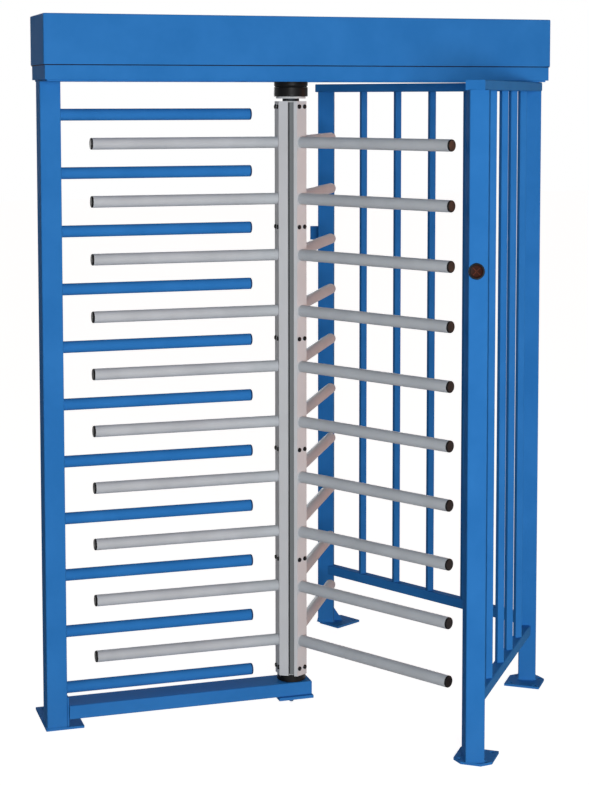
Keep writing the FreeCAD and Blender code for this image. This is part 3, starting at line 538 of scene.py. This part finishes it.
arm_silver = powder_coat("silver_powder_coat_on_steel", "#BFC4C9", "#B4B9BE", "#8C8A86", 0.5, 0.1)
black_cap = moulded_plastic("black_moulded_cap", "#0A0A0B", 0.45)
arm_top, arm_count, arm_seat = 1.893, 10, 0.665
arm_levels = [arm_top - bar_pitch * index for index in range(arm_count)]
for number, turn in enumerate(wing_turns, 1):
    out = Matrix.Rotation(math.radians(turn), 4, "Z")
    arms = bmesh.new()
    for level in arm_levels:
        tube_between(arms, out @ Vector((column_face, 0, level)), out @ Vector((arm_seat, 0, level)),
                     tube_radius, tube_wall)
    add_piece("wing_%d_tubes" % number, arms, arm_silver, "rotor", "grey_paint", "wing_%d_arms" % number)
    tips = [out @ Matrix.Translation((arm_seat, 0, level)) @ lie_along_x for level in arm_levels]
    add_piece("wing_%d_tip_caps" % number, repeated(turned(tube_cap_outline(), cap_steps), tips), black_cap,
              "rotor", "black_plastic", "wing_%d_caps" % number)

# Rotor head. The steel shaft rises from the column through a silver ring and a black collar that turn with
# it, and a second black collar is fixed under the tray, 4 mm above.

add_piece("shaft_turned", turned([(2012, 0), (2012, 20), (2028, 20), (2028, 27), (2028.5, 27.5),
                                  (2036.6, 27.5), (2036.6, 20), (2195, 20), (2196, 19), (2196, 0)], 64),
          turned_steel("oiled_shaft_steel", "#34383C", 0.6), "rotor", "bearing_steel", "top_shaft")
add_piece("top_ring_turned", turned(collar_outline(2036.6, 2043.2, 20, 49, 1), collar_steps),
          column_silver, "rotor", "grey_paint", "top_ring")
add_piece("top_collar_turned", turned(collar_outline(2043.2, 2074, 20, 56, 2), collar_steps),
          black_collar, "rotor", "black_plastic", "top_collar")
add_piece("fixed_collar_turned", turned(collar_outline(2077.9, 2096, 24, 56, 2), collar_steps),
          black_collar, "frame", "black_plastic", "fixed_collar")

# Collar seal. A ring of black felt under the fixed collar closes the gap to the collar that turns, and
# keeps the weather off the shaft. It leaves half a millimetre free.

felt = moulded_plastic("black_felt", "#18181A", 0.95, grain=0.0012)
add_piece("collar_felt_ring", turned(collar_outline(2074.5, 2077.9, 24, 53, 0.6), collar_steps), felt,
          "frame", "black_plastic")

# Locking head, inside the canopy. A machined aluminium bearing block, a zinc-plated stop disc with three
# blocks, two pawls on their posts, their coils, and a rubber wheel on a rotary damper.

milled_aluminium = satin_silver("milled_aluminium", "#A9ABAE", 1.0, 0.32, line=0.001)
zinc_parts = zinc_plate("zinc_plated_steel", "#A6ABB0", 0.36)
for name in ("top_bearing_housing", "damper_body", "power_supply"):
    coat_node(name, milled_aluminium)
for name in ("stop_disc", "pawl_a", "pawl_b", "head_brackets"):
    coat_node(name, zinc_parts)
coat_node("solenoids", black_steel)
coat_node("damper_roller", moulded_plastic("black_rubber_tyre", "#1A1A1A", 0.75, grain=0.001))
coat_node("control_board", moulded_plastic("green_solder_resist", "#14502C", 0.35, grain=0.004))
coat_node("cable_gland", black_cap)

# Passage indicators. A round lamp in a black bezel faces each side: one on the front post's outer face, one
# on a small blue box behind the back post. Unlit, a smoked amber lens over a cross-shaped reflector.

def smoked_lens(name, base, rough):
    # Cast acrylic over a dark reflector: deep brown with a satin skin, its depth uneven from place to place.
    tint_size = 0.01
    finish = new_finish(name)
    place = add_node(finish, "ShaderNodeTexCoord")
    tint = add_node(finish, "ShaderNodeTexNoise", {"noise_dimensions": "3D"},
                    {"Scale": 1 / tint_size, "Detail": 1.0}, {"Vector": (place, "Object")})
    shade = add_node(finish, "ShaderNodeMix", {"data_type": "RGBA"},
                     {"A": colour(base), "B": colour("#260F09")}, {"Factor": (tint, "Fac")})
    shader = add_node(finish, "ShaderNodeBsdfPrincipled",
                      values={"IOR": 1.49, "Specular IOR Level": 0.03, "Roughness": rough},
                      links={"Base Color": (shade, "Result")})
    add_node(finish, "ShaderNodeOutputMaterial", links={"Surface": (shader, "BSDF")})
    return finish


def cross_rib():
    # Two low ribs crossed over the lens, moulded as one with it.
    rib_length, rib_width, rib_height, rib_middle, rib_edge = 0.033, 0.0032, 0.0012, 0.0031, 0.0004
    ribs = bmesh.new()
    for turn in (45, 135):
        made = bmesh.ops.create_cube(ribs, size=1.0, matrix=Matrix.Rotation(math.radians(turn), 4, "Z")
                                     @ Matrix.Translation((0, 0, rib_middle))
                                     @ Matrix.Diagonal((rib_length, rib_width, rib_height, 1)))
        edges = {edge for vert in made["verts"] for edge in vert.link_edges}
        bmesh.ops.bevel(ribs, geom=list(edges), offset=rib_edge, offset_type="OFFSET", segments=2,
                        profile=0.5, affect="EDGES", material=-1)
    return ribs


lamp_height, bezel_depth = 1.520, 6.0
front_face_turn, front_lamp_shift = front_post_turn + 180, -0.007
front_lamp = Matrix.Translation((*front_post, lamp_height)) \
    @ Matrix.Rotation(math.radians(front_face_turn), 4, "Z") \
    @ Matrix.Translation((cage_post_half, front_lamp_shift, 0)) @ lie_along_x
rear_box_face, rear_box_shift = 0.06, 0.0385
rear_lamp = Matrix.Translation((*back_post, lamp_height)) \
    @ Matrix.Rotation(math.radians(back_post_turn), 4, "Z") \
    @ Matrix.Translation((rear_box_face, rear_box_shift, 0)) @ lie_along_x
lamps = [front_lamp, rear_lamp]
bezel = [(0, 19), (0, 25)] + rounded(bezel_depth - 2, 23, 2, 90, 0, 6) + [(bezel_depth, 20.2)] \
    + [(bezel_depth - 1.2, 19)]
lens = [(0, 0), (0, 18.9), (2.2, 18.9), (2.7, 18.2), (3.0, 14), (3.0, 0)]
add_piece("lamp_bezels", repeated(turned(bezel, 64), lamps), black_cap, "frame", "black_plastic",
          "indicator_bezels")
add_piece("lamp_lenses", repeated(turned(lens, 48), lamps),
          smoked_lens("smoked_amber_lens", "#3A1A10", 0.3), "frame", "lens", "indicator_lenses")
add_piece("lamp_cross_ribs", repeated(cross_rib(), lamps),
          smoked_lens("amber_lens_rib", "#6E3A2A", 0.35), "frame", "lens")
coat_node("rear_indicator_box", blue_coat)

# Canopy cover. A lid of 2 mm sheet, its corners folded and dressed, closes the locking head from above and
# laps 4 mm over the tray, so that a thin shadow line runs round between them.

cover_edge = 0.002
add_piece("canopy_cover_folded", eased_copy("canopy_cover", cover_edge, 3), blue_coat, "frame",
          "blue_paint", "canopy_cover")

# Canopy shadow line. A black strip, 2 mm thick, runs round the tray under the cover's lower edge. It is a
# painted shadow, showing as a thin dark line where the cover's edge shades the tray.

tray_middle, tray_half = Vector((0.0165, -0.010)), Vector((0.8525, 0.125))
shadow_band_bottom, shadow_band_height, shadow_band_wall = 2.1402, 0.0027, 0.002
canopy_shadow_band = bmesh.new()
outline = Matrix.Translation((*tray_middle, shadow_band_bottom)) \
    @ Matrix.Diagonal((tray_half.x + shadow_band_wall, tray_half.y + shadow_band_wall, 1, 1))
bmesh.ops.create_grid(canopy_shadow_band, x_segments=1, y_segments=1, size=1, matrix=outline)
bmesh.ops.inset_region(canopy_shadow_band, faces=canopy_shadow_band.faces[:], thickness=shadow_band_wall, use_even_offset=True,
                       use_boundary=True)
middle_face = min(canopy_shadow_band.faces, key=lambda face: (face.calc_center_median().xy - tray_middle).length)
bmesh.ops.delete(canopy_shadow_band, geom=[middle_face], context="FACES_ONLY")
grown = bmesh.ops.extrude_face_region(canopy_shadow_band, geom=canopy_shadow_band.faces[:])
bmesh.ops.translate(canopy_shadow_band, vec=(0, 0, shadow_band_height),
                    verts=[item for item in grown["geom"] if isinstance(item, bmesh.types.BMVert)])
# The black colour of this strip is painted shadow under the cover's edge.
add_piece("canopy_painted_shadow_line", canopy_shadow_band, moulded_plastic("painted_canopy_shadow_line", "#141416", 0.8), "frame",
          "rubber")

# Studio. A pale floor that shows the camera plain white and still takes a soft shadow, an even pale world,
# a broad key from the camera's side, a warm fill from the right and a quiet one from behind.

floor_glow, floor_half = 0.9, 30
floor_finish = new_finish("pale_studio_floor")
ray = add_node(floor_finish, "ShaderNodeLightPath")
seen = add_node(floor_finish, "ShaderNodeMath", {"operation": "MAXIMUM"},
                links={0: (ray, "Is Camera Ray"), 1: (ray, "Is Glossy Ray")})
glow_level = add_node(floor_finish, "ShaderNodeMath", {"operation": "MULTIPLY"}, {1: floor_glow},
                      {0: (seen, "Value")})
glow = add_node(floor_finish, "ShaderNodeEmission", values={"Color": (1, 1, 1, 1)},
                links={"Strength": (glow_level, "Value")})
matt = add_node(floor_finish, "ShaderNodeBsdfDiffuse", values={"Color": colour("#B8B8B8")})
both = add_node(floor_finish, "ShaderNodeAddShader", links={0: (glow, "Emission"), 1: (matt, "BSDF")})
add_node(floor_finish, "ShaderNodeOutputMaterial", links={"Surface": (both, "Shader")})
floor_mesh = bmesh.new()
bmesh.ops.create_grid(floor_mesh, x_segments=1, y_segments=1, size=floor_half)
floor_data = bpy.data.meshes.new("studio_floor")
floor_mesh.to_mesh(floor_data)
floor_mesh.free()
floor_data.materials.append(floor_finish)
floor = bpy.data.objects.new("studio_floor", floor_data)
bpy.context.scene.collection.objects.link(floor)

world_light, world_white = 0.12, 1.0
world = bpy.data.worlds.new("pale_studio")
bpy.context.scene.world = world
world.use_nodes = True
world.node_tree.nodes.clear()
ray = add_node(world, "ShaderNodeLightPath")
direct = add_node(world, "ShaderNodeMath", {"operation": "MAXIMUM"},
                  links={0: (ray, "Is Camera Ray"), 1: (ray, "Is Glossy Ray")})
clear = add_node(world, "ShaderNodeMath", {"operation": "MAXIMUM"},
                 links={0: (direct, "Value"), 1: (ray, "Is Transmission Ray")})
level = add_node(world, "ShaderNodeMapRange", {"clamp": True},
                 {"From Min": 0.0, "From Max": 1.0, "To Min": world_light, "To Max": world_white},
                 {"Value": (clear, "Value")})
sky = add_node(world, "ShaderNodeBackground", values={"Color": (1, 1, 1, 1)},
               links={"Strength": (level, "Result")})
add_node(world, "ShaderNodeOutputWorld", links={"Surface": (sky, "Background")})


def add_sun(name, azimuth, elevation, level, spread, tint="#FFFFFF"):
    # level 1 alone lights a face turned to it so that its colour renders as written.
    light = bpy.data.lights.new(name, "SUN")
    light.energy = level * math.pi
    light.angle = math.radians(spread)
    light.color = colour(tint)[:3]
    lamp = bpy.data.objects.new(name, light)
    bpy.context.scene.collection.objects.link(lamp)
    a, e = math.radians(azimuth), math.radians(elevation)
    away = Vector((math.sin(a) * math.cos(e), -math.cos(a) * math.cos(e), math.sin(e)))
    lamp.rotation_euler = away.to_track_quat("Z", "Y").to_euler()


key_level, key_distance, key_azimuth, key_rise = 0.74, 8.0, math.radians(-8), 0.06
lit_centre = Vector((0, 0, 1.2))
key_light = bpy.data.lights.new("key", "AREA")
key_light.shape, key_light.size = "SQUARE", 3.0
key_light.energy = key_level * (math.pi * key_distance) ** 2
key = bpy.data.objects.new("key", key_light)
bpy.context.scene.collection.objects.link(key)
toward_key = Vector((math.sin(key_azimuth), -math.cos(key_azimuth), key_rise)).normalized()
key.location = lit_centre + toward_key * key_distance
key.rotation_euler = toward_key.to_track_quat("Z", "Y").to_euler()
add_sun("warm_fill", 80, 3, 0.62, 30, "#FF9C60")
add_sun("back_fill", 172, 4, 0.45, 40)

# Camera. It stands 5.8 m from the rotor and 2 m up, to the left of it, and looks 4.5 degrees down.

photo_width, photo_height, focal_pixels, centre_row = 589, 786, 1757.259, 237.651
camera_data = bpy.data.cameras.new("photo_camera")
camera_data.sensor_width = 36.0
camera_data.lens = camera_data.sensor_width * focal_pixels / photo_height
camera_data.shift_y = (centre_row - photo_height / 2) / photo_height
camera = bpy.data.objects.new("photo_camera", camera_data)
bpy.context.scene.collection.objects.link(camera)
look_down, roll, heading = 4.5, 0.05, -17.423
camera.location = (-1.730724, -5.556020, 2.033855)
camera.rotation_euler = (math.radians(90 - look_down), math.radians(roll), math.radians(heading))
bpy.context.scene.camera = camera
bpy.context.scene.view_settings.view_transform = "Standard"
